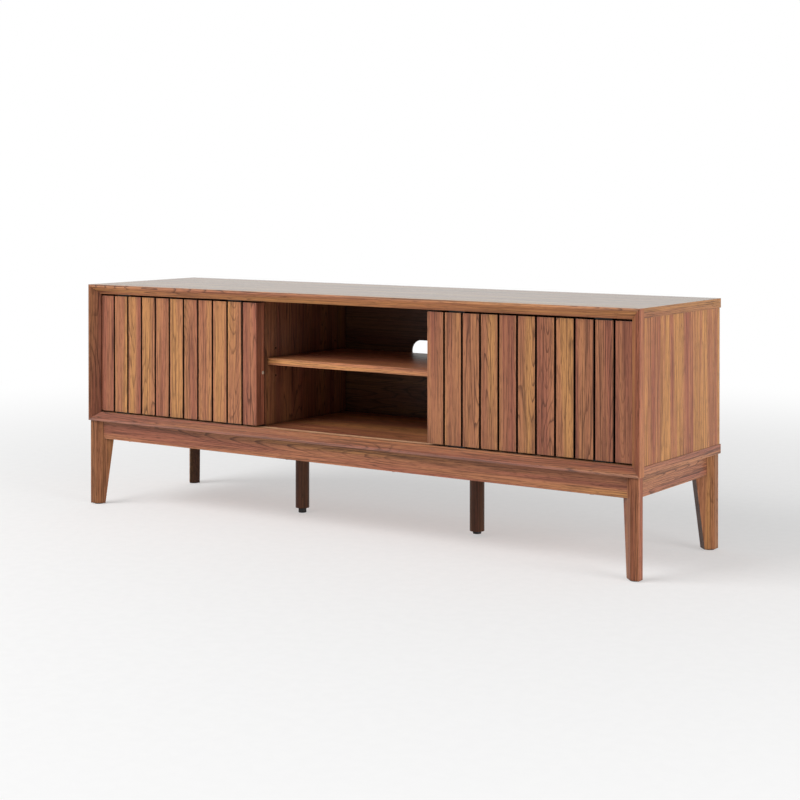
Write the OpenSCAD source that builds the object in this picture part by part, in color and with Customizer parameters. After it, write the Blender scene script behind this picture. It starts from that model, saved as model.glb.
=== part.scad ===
// TV stand with two sliding slatted doors, an open centre bay, corner legs and two middle legs.
// Units are millimetres. Origin: floor level, centre of the body. +X right, +Y to the rear, +Z up.

/* [Body] */
// Overall width
width = 1500; // [1300:10:1700]
// Overall depth
depth = 390; // [350:5:430]
// Overall height above the floor
height = 540; // [500:5:600]
// Height of the body's underside above the floor
leg_height = 206; // [180:1:240]
// Thickness of the top and bottom panels
panel = 20; // [18:1:25]
// Thickness of the side panels
side_t = 18; // [15:1:20]
// How far the side panels sit in from the ends
side_inset = 1; // [0:0.5:3]
// How far the side panels stop short of the rear
rear_inset = 4; // [0:1:8]

/* [Front frame] */
// Depth of the mitred front frame
frame_d = 20; // [14:1:25]
// Width of the top rail
top_rail_w = 23; // [20:0.5:30]
// Width of the bottom rail
bottom_rail_w = 20; // [18:0.5:30]
// Width of the stiles
stile_w = 25; // [22:0.5:32]
// Flat left at the outer edge before the slope starts
frame_flat = 5; // [3:0.5:8]
// Square lip at the inner edge
frame_lip = 2; // [1:0.5:4]

/* [Centre bay] */
// Distance from the centre to each divider's bay face
bay_half = 236; // [200:1:280]
// Thickness of the dividers and shelves
board = 15; // [12:1:18]
// Height of the shelf pins above the floor
shelf_pin_z = 371.3; // [300:0.1:440]
// Spacing of the shelf pin holes
pin_pitch = 32; // [25:1:50]
// Radius of the shelf pins
pin_r = 2.5; // [2:0.5:3]
// Depth of a shelf pin hole
pin_depth = 7; // [5:0.5:8]
// Thickness of the back panel
back_t = 4; // [3:0.5:6]
// Width of the oval cable opening
cable_w = 78; // [50:1:100]
// Height of the oval cable opening
cable_h = 52; // [40:1:80]
// Height of the cable opening's centre above the floor
cable_z = 386; // [330:1:430]

/* [Doors] */
// Width of one slat
slat_w = 40; // [30:1:60]
// Gap between slats
slat_gap = 5; // [3:0.5:8]
// Slats on each door
slat_n = 11; // [5:1:14]
// Thickness of a slat
slat_t = 18; // [12:1:20]
// Thickness of the door board
door_board_t = 12; // [9:1:15]
// Height of a door
door_h = 283; // [240:1:320]
// Gap between the floor panel and a door
door_lift = 3.5; // [3:0.5:6]
// Gap between the front frame and the slats
door_gap = 1.5; // [1:0.5:4]
// Width of a sliding track
track_w = 19; // [14:1:22]
// Height of a sliding track
track_h = 8; // [6:0.5:10]
// Width of the track slot
slot_w = 4.4; // [3:0.2:6]
// Depth of the track slot
slot_h = 6; // [4:0.5:7]

/* [Base] */
// Height of the aprons
apron_h = 45; // [35:1:60]
// Thickness of the aprons
apron_t = 18; // [15:1:22]
// How far the aprons sit in from the body
apron_in = 17; // [10:1:25]
// How far the leg corners sit in from the body
leg_in = 4; // [0:1:10]
// Thickness of a corner leg
leg_t = 26; // [20:1:32]
// Length of a leg's straight side under the body
leg_long = 43; // [35:1:60]
// Length of a leg's straight side at the floor
leg_foot = 22.3; // [15:0.1:35]
// Thickness of the glide under each corner leg
glide_t = 2; // [1:0.5:4]
// Distance from the centre to each middle leg
mid_x = 246; // [200:1:300]
// How far the middle legs sit behind the centre
mid_y = 13; // [-40:1:60]
// Diameter of a middle leg
mid_d = 33; // [28:1:45]
// Height of a middle leg's end above the floor
mid_z = 12; // [6:0.5:20]
// Diameter of a leveller foot
lev_d = 19; // [15:1:25]
// Height of a leveller foot
lev_h = 12; // [8:0.5:15]
// Gap between the right leveller and the floor
right_lev_z = 5.5; // [0:0.5:8]

/* [Hidden] */
$fn = 48;

hw = width / 2;
hd = depth / 2;
y_front = -hd;
y_case = y_front + frame_d;
y_side = hd - rear_inset;
z_body = leg_height;
z_floor = leg_height + panel;
z_ceil = height - panel;
side_in = hw - side_inset - side_t;
side_out = hw - side_inset;

// play on the radius of a fastener in its hole, on the one in a metal plate, and of a board in
// its groove
hole_play = 0.05;
plate_play = 0.3;
groove_play = 0.2;
// how far a cut or a joined shape runs past the face where it starts or ends
past = 1;
chamfer_cut = 4;

y_slat = y_case + door_gap;
y_board = y_slat + slat_t;
y_back_of_door = y_board + door_board_t;
y_div = y_back_of_door + 2;
door_w = slat_n * slat_w + (slat_n - 1) * slat_gap;
door_in = bay_half;
door_out = bay_half + door_w;
z_door = z_floor + door_lift;
y_track = y_slat + (slat_t + door_board_t) / 2;

// rows of pin holes in the bay; those of the side compartments are set off from them, so that
// the holes in the two faces of a divider don't meet
y_pin = [y_div + 40, y_div + 272];
y_pin_side = [y_div + 56, y_div + 256];
y_shelf = y_div + 9;
y_shelf_back = y_div + 306;
z_shelf = shelf_pin_z - 4;
y_back = 175;
groove = 6;
pin_out = 8;
shelf_gap = 0.5;

apron_y = hd - apron_in;
apron_x = hw - apron_in;
z_apron = z_body - apron_h;
leg_w = leg_t / sqrt(2);
leg_u = leg_t / 2;
glide_u = leg_u + 7;

// corner brackets and their bolts; u is the distance along a corner's diagonal
bolt_z = [z_apron + 12, z_body - 13];
bolt_r = 4;
bolt_u = 28;
bolt_out = 14;
nut_r = 7.5;
nut_h = 6.5;
bracket_gap = 0.3;
bracket_t = 2.5;
bracket_h = 35;
bracket_u = leg_u + leg_long + bracket_gap;
bracket_half = bracket_u - (apron_in - leg_in + apron_t) * sqrt(2) - bracket_gap;
bracket_bend = bracket_t * (sqrt(2) - 1);
bracket_edge = bracket_t / sqrt(2);
flange = 46 / sqrt(2);
flange_screw = 30 / sqrt(2);
flange_screw_r = 1.7;
flange_screw_in = 12;
flange_head_r = 3.8;
flange_head_h = 2.2;

// tracks, door glides, guides and bumpers; halves are a foot's half length and half width
track_gap = 0.1;
runner_in = 70;
tongue_play = 0.4;
glide_half = [22, 12];
glide_tongue = 18;
glide_gap = 0.5;
glide_tip_gap = 0.6;
guide_half = [20, 9];
guide_tongue = 15;
guide_gap = 3.5;
guide_tip_gap = 1.5;
bumper_r = 4;
bumper_t = 1.5;
bumper_z = 350;

// glides under the corner legs
foot_r = 10.5;
foot_pin_r = 1.5;
foot_pin_l = 12;
foot_pin_sunk = 0.5;

// middle legs: plate with a stud at the top, insert and leveller at the bottom
plate_r = 22;
plate_t = 3;
plate_rim = 8;
stud_l = 22;
stud_end = 2;
plate_screw_r = 1.9;
plate_screw_in = 16;
plate_head_r = 3.6;
plate_head_h = 2;
insert_r = 6;
insert_l = 18;
thread_r = 4;
thread_l = 34;
thread_space = 4.6;
thread_bore = 30;
thread_play = 0.05;
foot_space = 0.8;
foot_short = 0.5;

wood = [0.68, 0.46, 0.33];
dark_wood = [0.25, 0.17, 0.12];
black = [0.05, 0.05, 0.05];
steel = [0.7, 0.7, 0.72];

// ---------- shared shapes ----------

module box_at(x0, x1, y0, y1, z0, z1) {
    translate([x0, y0, z0])
        cube([x1 - x0, y1 - y0, z1 - z0]);
}

// a round bar along +Z, +Y or +X starting at p
module bar_z(p, r, l) {
    translate(p)
        cylinder(r = r, h = l);
}

module bar_y(p, r, l) {
    translate(p)
        rotate([-90, 0, 0])
            cylinder(r = r, h = l);
}

module bar_x(p, r, l) {
    translate(p)
        rotate([0, 90, 0])
            cylinder(r = r, h = l);
}

// section of a rail: u runs in from the outer edge, v back from the front
module frame_section(w) {
    polygon([[0, 0], [frame_flat, 0], [w, frame_d - frame_lip], [w, frame_d], [0, frame_d]]);
}

// face outline of one rail, mitred at both ends; half length, rail width, mitre width
module rail_face(half, w, wm) {
    polygon([[-half, 0], [half, 0], [half - frame_flat, frame_flat], [half - wm, w],
        [-half + wm, w], [-half + frame_flat, frame_flat]]);
}

// a rail along X with its outer edge at y = 0 of the outline and its face towards -Y
module rail(half, w, wm) {
    intersection() {
        translate([0, frame_d, 0])
            rotate([90, 0, 0])
                linear_extrude(height = frame_d)
                    rail_face(half, w, wm);
        translate([-half, 0, 0])
            rotate([90, 0, 90])
                linear_extrude(height = 2 * half)
                    rotate([0, 0, 90])
                        mirror([0, 1])
                            frame_section(w);
    }
}

// positions used by several parts
dowel_rail_x = [-600, -200, 200, 600];
dowel_stile_z = [z_floor + 60, z_ceil - 60];
div_mid = bay_half + board / 2;
side_mid = (side_in + side_out) / 2;
upright_x = [-side_mid, -div_mid, div_mid, side_mid];
screw_y = [-105, 20, 145];
dowel_y = [-115, 155];
cam_y = [-70, 110];
z_cam = z_ceil - 34;
cap_x = [-632, -147, 147, 632];
cap_y = apron_y - apron_t / 2;

// a frame dowel's length into the frame, then into the panel or side behind it
frame_dowel_r = 3;
dowel_top = [10, 6];
dowel_bottom = [8, 6];
dowel_stile = [9, 12];
// a top dowel's length down into an upright, then up into the top panel
top_dowel_r = 4;
top_dowel = [16, 12];

cam_r = 7.5;
cam_depth = 12.5;
cam_bolt_r = 3;
cam_bolt_cover = 9;

// screws: radius of the shank and head, height of the head, length from head to tip
bottom_shank_r = 2.5;
bottom_head_r = 4.8;
bottom_head_h = 4;
bottom_screw_l = 50;
apron_shank_r = 2.2;
apron_head_r = 4.2;
apron_head_h = 3;
apron_screw_l = 43;

// caps over the apron screws, each with a flat head and a plug in its bore
cap_r = 4.5;
cap_bore = 12;
cap_head = 1.3;
cap_rim = 1.5;
cap_plug = 6.5;
cap_sunk = 0.5;

module frame_dowel(x, z, reach, extra) {
    bar_y([x, y_case - reach[0] - extra, z], frame_dowel_r + extra,
        reach[0] + reach[1] + 2 * extra);
}

module frame_dowel_set(extra) {
    for (x = dowel_rail_x) {
        frame_dowel(x, height - panel / 2, dowel_top, extra);
        frame_dowel(x, z_body + panel / 2, dowel_bottom, extra);
    }
    for (x = [-side_mid, side_mid])
        for (z = dowel_stile_z)
            frame_dowel(x, z, dowel_stile, extra);
}

module top_dowel_set(extra) {
    for (x = upright_x)
        for (y = dowel_y)
            bar_z([x, y, z_ceil - top_dowel[0] - extra], top_dowel_r + extra,
                top_dowel[0] + top_dowel[1] + 2 * extra);
}

// bolts from just under the top face down through the cam locks
module cam_bolt_set(extra) {
    z0 = z_cam - cam_bolt_r;
    for (x = upright_x)
        for (y = cam_y)
            bar_z([x, y, z0 - extra], cam_bolt_r + extra,
                height - cam_bolt_cover - z0 + 2 * extra);
}

// cam housings open on the side away from the centre bay
module cam_lock_set(extra) {
    for (s = [-1, 1])
        for (y = cam_y) {
            x_div = bay_half + board;
            cam_div = s > 0 ? x_div - cam_depth - extra : -x_div - extra;
            cam_side = s > 0 ? side_in - extra : -side_in - cam_depth - extra;
            for (x = [cam_div, cam_side])
                bar_x([x, y, z_cam], cam_r + extra, cam_depth + 2 * extra);
        }
}

module bottom_screw_set(extra) {
    for (x = upright_x)
        for (y = screw_y) {
            bar_z([x, y, z_body - extra], bottom_head_r + extra, bottom_head_h + 2 * extra);
            bar_z([x, y, z_body + past], bottom_shank_r + extra,
                bottom_screw_l - past + extra);
        }
}

module apron_screw_set(extra) {
    for (x = cap_x)
        for (y = [-cap_y, cap_y]) {
            bar_z([x, y, z_apron + cap_bore - extra], apron_head_r + extra,
                apron_head_h + extra);
            bar_z([x, y, z_apron + cap_bore + past], apron_shank_r + extra,
                apron_screw_l - past + extra);
        }
}

module cap_bores() {
    for (x = cap_x)
        for (y = [-cap_y, cap_y])
            bar_z([x, y, z_apron - past], cap_r + hole_play, cap_bore + past);
}

// pin holes in a wall face at x; dir is the way into the wall
module pin_hole_rows(x, dir, rows) {
    for (y = rows)
        for (k = [-1, 0, 1])
            bar_x([dir > 0 ? x - hole_play : x - pin_depth, y, shelf_pin_z + k * pin_pitch],
                pin_r + hole_play, pin_depth + hole_play);
}

// ---------- body ----------

module frame_top_rail() {
    color(wood)
        difference() {
            translate([0, y_front, height])
                mirror([0, 0, 1])
                    rail(hw, top_rail_w, stile_w);
            frame_dowel_set(hole_play);
        }
}

module frame_bottom_rail() {
    color(wood)
        difference() {
            translate([0, y_front, z_body])
                rail(hw, bottom_rail_w, stile_w);
            frame_dowel_set(hole_play);
        }
}

// side s: -1 left, 1 right
module stile(s) {
    z0 = z_body;
    z1 = height;
    difference() {
        intersection() {
            translate([s * hw, y_front, z0])
                mirror([s > 0 ? 1 : 0, 0, 0])
                    linear_extrude(height = z1 - z0)
                        frame_section(stile_w);
            translate([0, y_front + frame_d, 0])
                rotate([90, 0, 0])
                    linear_extrude(height = frame_d)
                        polygon([[s * hw, z0], [s * (hw - frame_flat), z0 + frame_flat],
                            [s * (hw - stile_w), z0 + bottom_rail_w],
                            [s * (hw - stile_w), z1 - top_rail_w],
                            [s * (hw - frame_flat), z1 - frame_flat], [s * hw, z1]]);
        }
        frame_dowel_set(hole_play);
    }
}

module frame_left_stile() {
    color(wood)
        stile(-1);
}

module frame_right_stile() {
    color(wood)
        stile(1);
}

// grooves along a panel for its track and for the back panel
module track_groove(z0, z1) {
    w = track_w / 2 + hole_play;
    box_at(-side_in, side_in, y_track - w, y_track + w, z0, z1);
}

module back_groove(z0, z1) {
    x = side_in + groove + groove_play;
    box_at(-x, x, y_back - groove_play, y_back + back_t + groove_play, z0, z1);
}

module top_panel() {
    color(wood)
        difference() {
            box_at(-hw, hw, y_case, hd, z_ceil, height);
            track_groove(z_ceil - past, z_ceil + track_h + hole_play);
            back_groove(z_ceil - past, z_ceil + groove + groove_play);
            frame_dowel_set(hole_play);
            top_dowel_set(hole_play);
            cam_bolt_set(hole_play);
        }
}

// small slope along the bay floor's front edge, behind the bottom rail
module floor_chamfer() {
    translate([0, y_case, z_floor])
        rotate([45, 0, 0])
            cube([2 * side_in, chamfer_cut, chamfer_cut], center = true);
}

module bottom_panel() {
    color(wood)
        difference() {
            box_at(-hw, hw, y_case, hd, z_body, z_floor);
            track_groove(z_floor - track_h - hole_play, z_floor + past);
            back_groove(z_floor - groove - groove_play, z_floor + past);
            floor_chamfer();
            frame_dowel_set(hole_play);
            bottom_screw_set(hole_play);
            apron_screw_set(hole_play);
            plate_screw_set(hole_play);
        }
}

module side_panel(s) {
    difference() {
        box_at(min(s * side_in, s * side_out), max(s * side_in, s * side_out), y_case, y_side,
            z_floor, z_ceil);
        back_groove(z_floor - past, z_ceil + past);
        pin_hole_rows(s * side_in, s, y_pin_side);
        frame_dowel_set(hole_play);
        top_dowel_set(hole_play);
        cam_bolt_set(hole_play);
        cam_lock_set(hole_play);
        bottom_screw_set(hole_play);
    }
}

module left_side_panel() {
    color(wood)
        side_panel(-1);
}

module right_side_panel() {
    color(wood)
        side_panel(1);
}

module divider(s) {
    x0 = min(s * bay_half, s * (bay_half + board));
    difference() {
        box_at(x0, x0 + board, y_div, y_back - groove_play, z_floor, z_ceil);
        pin_hole_rows(s * bay_half, s, y_pin);
        pin_hole_rows(s * (bay_half + board), -s, y_pin_side);
        top_dowel_set(hole_play);
        cam_bolt_set(hole_play);
        cam_lock_set(hole_play);
        bottom_screw_set(hole_play);
    }
}

module left_divider() {
    color(wood)
        divider(-1);
}

module right_divider() {
    color(wood)
        divider(1);
}

module back_panel() {
    x = side_in + groove;
    flat = (cable_w - cable_h) / 2;
    color(dark_wood)
        difference() {
            box_at(-x, x, y_back, y_back + back_t, z_floor - groove, z_ceil + groove);
            for (s = [-1, 1])
                bar_y([s * flat, y_back - past, cable_z], cable_h / 2, back_t + 2 * past);
            box_at(-flat, flat, y_back - past, y_back + back_t + past,
                cable_z - cable_h / 2, cable_z + cable_h / 2);
        }
}

// ---------- shelves ----------

// a shelf between two walls; its underside is notched over the pins at both ends
module shelf(x0, x1, rows) {
    notch_r = pin_r + hole_play;
    notch_l = pin_out + 2;
    difference() {
        box_at(x0 + shelf_gap, x1 - shelf_gap, y_shelf, y_shelf_back, z_shelf, z_shelf + board);
        for (y = rows)
            for (x = [x0, x1 - notch_l]) {
                bar_x([x, y, shelf_pin_z], notch_r, notch_l);
                box_at(x, x + notch_l, y - notch_r, y + notch_r, z_shelf - past, shelf_pin_z);
            }
    }
}

module centre_shelf() {
    color(wood)
        shelf(-bay_half, bay_half, y_pin);
}

module left_shelf() {
    color(wood)
        shelf(-side_in, -bay_half - board, y_pin_side);
}

module right_shelf() {
    color(wood)
        shelf(bay_half + board, side_in, y_pin_side);
}

// a pin in a wall face at x; dir is the way into the wall
module shelf_pin(x, dir, y) {
    deep = pin_depth - 2 * hole_play;
    bar_x([dir > 0 ? x - pin_out : x - deep, y, shelf_pin_z], pin_r, pin_out + deep);
}

module shelf_pins() {
    color(steel)
        for (s = [-1, 1]) {
            for (y = y_pin)
                shelf_pin(s * bay_half, s, y);
            for (y = y_pin_side) {
                shelf_pin(s * (bay_half + board), -s, y);
                shelf_pin(s * side_in, s, y);
            }
        }
}

// ---------- sliding doors ----------

module track(z_open, dir) {
    z0 = dir > 0 ? z_open - track_h : z_open;
    difference() {
        box_at(-side_in + track_gap, side_in - track_gap, y_track - track_w / 2,
            y_track + track_w / 2, z0, z0 + track_h);
        box_at(-side_in, side_in, y_track - slot_w / 2, y_track + slot_w / 2,
            dir > 0 ? z_open - slot_h : z_open - past, dir > 0 ? z_open + past : z_open + slot_h);
    }
}

module top_track() {
    color(dark_wood)
        track(z_ceil, -1);
}

module bottom_track() {
    color(wood)
        track(z_floor, 1);
}

module door_board(s) {
    box_at(min(s * door_in, s * door_out), max(s * door_in, s * door_out), y_board,
        y_back_of_door, z_door, z_door + door_h);
}

module door_slats(s) {
    for (i = [0 : slat_n - 1]) {
        x0 = s * (door_in + i * (slat_w + slat_gap));
        x1 = s * (door_in + i * (slat_w + slat_gap) + slat_w);
        box_at(min(x0, x1), max(x0, x1), y_slat, y_board, z_door, z_door + door_h);
    }
}

// two glides under a door, each a foot plate with a tongue in the track slot
module door_glides(s) {
    t = slot_w / 2 - tongue_play;
    for (x = [s * (door_in + runner_in), s * (door_out - runner_in)]) {
        box_at(x - glide_half[0], x + glide_half[0], y_track - glide_half[1],
            y_track + glide_half[1], z_floor + glide_gap, z_door);
        box_at(x - glide_tongue, x + glide_tongue, y_track - t, y_track + t,
            z_floor - slot_h + glide_tip_gap, z_floor + past);
    }
}

// two guides on top of a door, each a low base with a tongue in the upper slot
module door_guides(s) {
    z1 = z_door + door_h;
    t = slot_w / 2 - tongue_play;
    for (x = [s * (door_in + runner_in), s * (door_out - runner_in)]) {
        box_at(x - guide_half[0], x + guide_half[0], y_track - guide_half[1],
            y_track + guide_half[1], z1, z_ceil - guide_gap);
        box_at(x - guide_tongue, x + guide_tongue, y_track - t, y_track + t,
            z1 + past, z_ceil + slot_h - guide_tip_gap);
    }
}

// soft pad on the edge that meets the other door
module door_bumper(s) {
    bar_x([s > 0 ? door_in - bumper_t : -door_in, y_board + door_board_t / 2, bumper_z],
        bumper_r, bumper_t);
}

module left_door_board() {
    color(dark_wood)
        door_board(-1);
}

module left_door_slats() {
    color(wood)
        door_slats(-1);
}

module left_door_glides() {
    color(black)
        door_glides(-1);
}

module left_door_guides() {
    color(black)
        door_guides(-1);
}

module left_door_bumper() {
    color([0.8, 0.8, 0.78])
        door_bumper(-1);
}

module right_door_board() {
    color(dark_wood)
        door_board(1);
}

module right_door_slats() {
    color(wood)
        door_slats(1);
}

module right_door_glides() {
    color(black)
        door_glides(1);
}

module right_door_guides() {
    color(black)
        door_guides(1);
}

module right_door_bumper() {
    color([0.8, 0.8, 0.78])
        door_bumper(1);
}

// ---------- base ----------

// one long apron of the front or rear, s = -1 front, 1 rear
module long_apron(s) {
    x_face = hw - leg_in - leg_w - (apron_in - leg_in);
    x_back = x_face - apron_t;
    difference() {
        translate([0, 0, z_apron])
            linear_extrude(height = apron_h)
                polygon([[-x_face, s * apron_y], [x_face, s * apron_y],
                    [x_back, s * (apron_y - apron_t)], [-x_back, s * (apron_y - apron_t)]]);
        apron_screw_set(hole_play);
        cap_bores();
        bracket_screw_set(hole_play);
    }
}

module front_apron() {
    color(wood)
        long_apron(-1);
}

module rear_apron() {
    color(wood)
        long_apron(1);
}

module short_apron(s) {
    y_face = hd - leg_in - leg_w - (apron_in - leg_in);
    y_in = y_face - apron_t;
    difference() {
        translate([0, 0, z_apron])
            linear_extrude(height = apron_h)
                polygon([[s * apron_x, -y_face], [s * apron_x, y_face],
                    [s * (apron_x - apron_t), y_in], [s * (apron_x - apron_t), -y_in]]);
        bracket_screw_set(hole_play);
    }
}

module left_apron() {
    color(wood)
        short_apron(-1);
}

module right_apron() {
    color(wood)
        short_apron(1);
}

// puts children at each corner in turn: local u runs in along the diagonal, v across it
module at_corner(sx, sy) {
    translate([sx * (hw - leg_in), sy * (hd - leg_in), 0])
        rotate([0, 0, atan2(-sy, -sx)])
            children();
}

module leg_shape() {
    difference() {
        intersection() {
            linear_extrude(height = z_body)
                polygon([[0, 0], [leg_u, leg_u], [leg_u + leg_long, leg_u],
                    [leg_u + leg_long, -leg_u], [leg_u, -leg_u]]);
            translate([0, leg_t, 0])
                rotate([90, 0, 0])
                    linear_extrude(height = 2 * leg_t)
                        polygon([[-past, glide_t], [leg_u + leg_foot, glide_t],
                            [leg_u + leg_long, z_apron], [leg_u + leg_long, z_body],
                            [-past, z_body]]);
        }
        for (z = bolt_z)
            bar_x([bolt_u - hole_play, 0, z], bolt_r + hole_play, leg_long);
        bar_z([glide_u, 0, 0], foot_pin_r + hole_play, glide_t + foot_pin_l);
    }
}

module front_left_leg() {
    color(wood)
        at_corner(-1, -1)
            leg_shape();
}

module front_right_leg() {
    color(wood)
        at_corner(1, -1)
            leg_shape();
}

module rear_left_leg() {
    color(wood)
        at_corner(-1, 1)
            leg_shape();
}

module rear_right_leg() {
    color(wood)
        at_corner(1, 1)
            leg_shape();
}

module each_corner() {
    for (sx = [-1, 1])
        for (sy = [-1, 1])
            at_corner(sx, sy)
                children();
}

module foot_glides() {
    color(black)
        each_corner() {
            bar_z([glide_u, 0, 0], foot_r, glide_t);
            bar_z([glide_u, 0, glide_t - foot_pin_sunk], foot_pin_r, foot_pin_l);
        }
}

// bent plate across the leg's inner end, with a flange along each apron
module bracket_outline() {
    polygon([
        [bracket_u, bracket_half],
        [bracket_u, -bracket_half],
        [bracket_u + flange, -bracket_half - flange],
        [bracket_u + flange + bracket_edge, -bracket_half - flange + bracket_edge],
        [bracket_u + bracket_t, -bracket_half + bracket_bend],
        [bracket_u + bracket_t, bracket_half - bracket_bend],
        [bracket_u + flange + bracket_edge, bracket_half + flange - bracket_edge],
        [bracket_u + flange, bracket_half + flange]
    ]);
}

module bracket_shape() {
    difference() {
        translate([0, 0, z_apron + (apron_h - bracket_h) / 2])
            linear_extrude(height = bracket_h)
                bracket_outline();
        for (z = bolt_z)
            bar_x([bracket_u - past, 0, z], bolt_r + plate_play, bracket_t + 2 * past);
        for (v = [-1, 1])
            for (z = bolt_z)
                flange_spot(v, z)
                    bar_z([0, 0, -past], flange_screw_r + plate_play, bracket_t + 2 * past);
    }
}

module front_left_bracket() {
    color(steel)
        at_corner(-1, -1)
            bracket_shape();
}

module front_right_bracket() {
    color(steel)
        at_corner(1, -1)
            bracket_shape();
}

module rear_left_bracket() {
    color(steel)
        at_corner(-1, 1)
            bracket_shape();
}

module rear_right_bracket() {
    color(steel)
        at_corner(1, 1)
            bracket_shape();
}

// a screw place on one flange; +Z of the children points away from the apron
module flange_spot(v, z) {
    translate([bracket_u + flange_screw, v * (bracket_half + flange_screw), z])
        rotate([0, 0, v * -45])
            rotate([0, 90, 0])
                children();
}

module bracket_screw_set(extra) {
    each_corner()
        for (v = [-1, 1])
            for (z = bolt_z)
                flange_spot(v, z) {
                    bar_z([0, 0, -flange_screw_in - extra], flange_screw_r + extra,
                        flange_screw_in + bracket_t + extra);
                    bar_z([0, 0, bracket_t], flange_head_r + extra, flange_head_h + extra);
                }
}

module bracket_screws() {
    color(steel)
        bracket_screw_set(0);
}

module leg_bolts() {
    color(steel)
        each_corner()
            for (z = bolt_z)
                bar_x([bolt_u, 0, z], bolt_r, bracket_u - bolt_u + bolt_out);
}

module leg_nuts() {
    color(steel)
        each_corner()
            for (z = bolt_z)
                translate([bracket_u + bracket_t, 0, z])
                    rotate([0, 90, 0])
                        difference() {
                            cylinder(r = nut_r, h = nut_h, $fn = 6);
                            bar_z([0, 0, -past], bolt_r + hole_play, nut_h + 2 * past);
                        }
}

module apron_screws() {
    color(steel)
        apron_screw_set(0);
}

module apron_caps() {
    color(dark_wood)
        for (x = cap_x)
            for (y = [-cap_y, cap_y]) {
                bar_z([x, y, z_apron - cap_head], cap_r + cap_rim, cap_head);
                bar_z([x, y, z_apron - cap_sunk], cap_r, cap_plug + cap_sunk);
            }
}

// turned leg with a pocket for the leveller foot, a bore for its thread and one for the stud
module mid_leg(s) {
    z_top = z_body - plate_t;
    z_insert = mid_z + lev_h;
    difference() {
        bar_z([s * mid_x, mid_y, mid_z], mid_d / 2, z_top - mid_z);
        bar_z([s * mid_x, mid_y, mid_z - past], lev_d / 2 + foot_space, lev_h + past);
        bar_z([s * mid_x, mid_y, z_insert - past], insert_r + hole_play,
            insert_l + past + hole_play);
        bar_z([s * mid_x, mid_y, z_insert + insert_l - past], thread_space, thread_bore);
        bar_z([s * mid_x, mid_y, z_top - stud_l - stud_end], bolt_r + hole_play,
            stud_l + stud_end + past);
    }
}

module left_mid_leg() {
    color(dark_wood)
        mid_leg(-1);
}

module right_mid_leg() {
    color(dark_wood)
        mid_leg(1);
}

module plate_screw_set(extra) {
    for (s = [-1, 1])
        for (a = [45 : 90 : 315]) {
            x = s * mid_x + plate_r * cos(a);
            y = mid_y + plate_r * sin(a);
            bar_z([x, y, z_body - plate_t - extra], plate_screw_r + extra,
                plate_screw_in + 2 * extra);
            if (extra == 0)
                bar_z([x, y, z_body - plate_t - plate_head_h], plate_head_r, plate_head_h);
        }
}

module mid_plate(s) {
    difference() {
        union() {
            bar_z([s * mid_x, mid_y, z_body - plate_t], plate_r + plate_rim, plate_t);
            bar_z([s * mid_x, mid_y, z_body - plate_t - stud_l], bolt_r, stud_l + past);
        }
        plate_screw_set(plate_play);
    }
}

module left_mid_plate() {
    color(steel)
        mid_plate(-1);
}

module right_mid_plate() {
    color(steel)
        mid_plate(1);
}

module plate_screws() {
    color(steel)
        plate_screw_set(0);
}

module leveller_inserts() {
    color(steel)
        for (s = [-1, 1])
            difference() {
                bar_z([s * mid_x, mid_y, mid_z + lev_h], insert_r, insert_l);
                bar_z([s * mid_x, mid_y, mid_z + lev_h - past], thread_r + thread_play,
                    insert_l + 2 * past);
            }
}

// foot and thread of a leveller whose foot stands at height z
module leveller(s, z) {
    bar_z([s * mid_x, mid_y, z], lev_d / 2, lev_h - foot_short);
    bar_z([s * mid_x, mid_y, z + lev_h - past], thread_r, thread_l);
}

module left_leveller() {
    color(black)
        leveller(-1, 0);
}

module right_leveller() {
    color(black)
        leveller(1, right_lev_z);
}

// ---------- fasteners ----------

module bottom_screws() {
    color(steel)
        bottom_screw_set(0);
}

module top_dowels() {
    color([0.85, 0.72, 0.52])
        top_dowel_set(0);
}

module cam_bolts() {
    color(steel)
        cam_bolt_set(0);
}

module cam_locks() {
    color(steel)
        difference() {
            cam_lock_set(0);
            cam_bolt_set(hole_play);
        }
}

module frame_dowels() {
    color([0.85, 0.72, 0.52])
        frame_dowel_set(0);
}

frame_top_rail();
frame_bottom_rail();
frame_left_stile();
frame_right_stile();
top_panel();
bottom_panel();
left_side_panel();
right_side_panel();
left_divider();
right_divider();
back_panel();
centre_shelf();
left_shelf();
right_shelf();
shelf_pins();
top_track();
bottom_track();
left_door_board();
left_door_slats();
left_door_glides();
left_door_guides();
left_door_bumper();
right_door_board();
right_door_slats();
right_door_glides();
right_door_guides();
right_door_bumper();
front_apron();
rear_apron();
left_apron();
right_apron();
front_left_leg();
front_right_leg();
rear_left_leg();
rear_right_leg();
foot_glides();
front_left_bracket();
front_right_bracket();
rear_left_bracket();
rear_right_bracket();
leg_bolts();
leg_nuts();
bracket_screws();
apron_screws();
apron_caps();
left_mid_leg();
right_mid_leg();
left_mid_plate();
right_mid_plate();
plate_screws();
leveller_inserts();
left_leveller();
right_leveller();
bottom_screws();
top_dowels();
cam_bolts();
cam_locks();
frame_dowels();
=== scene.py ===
"""Looks of the TV stand with sliding slatted doors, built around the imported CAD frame."""
import math

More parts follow.
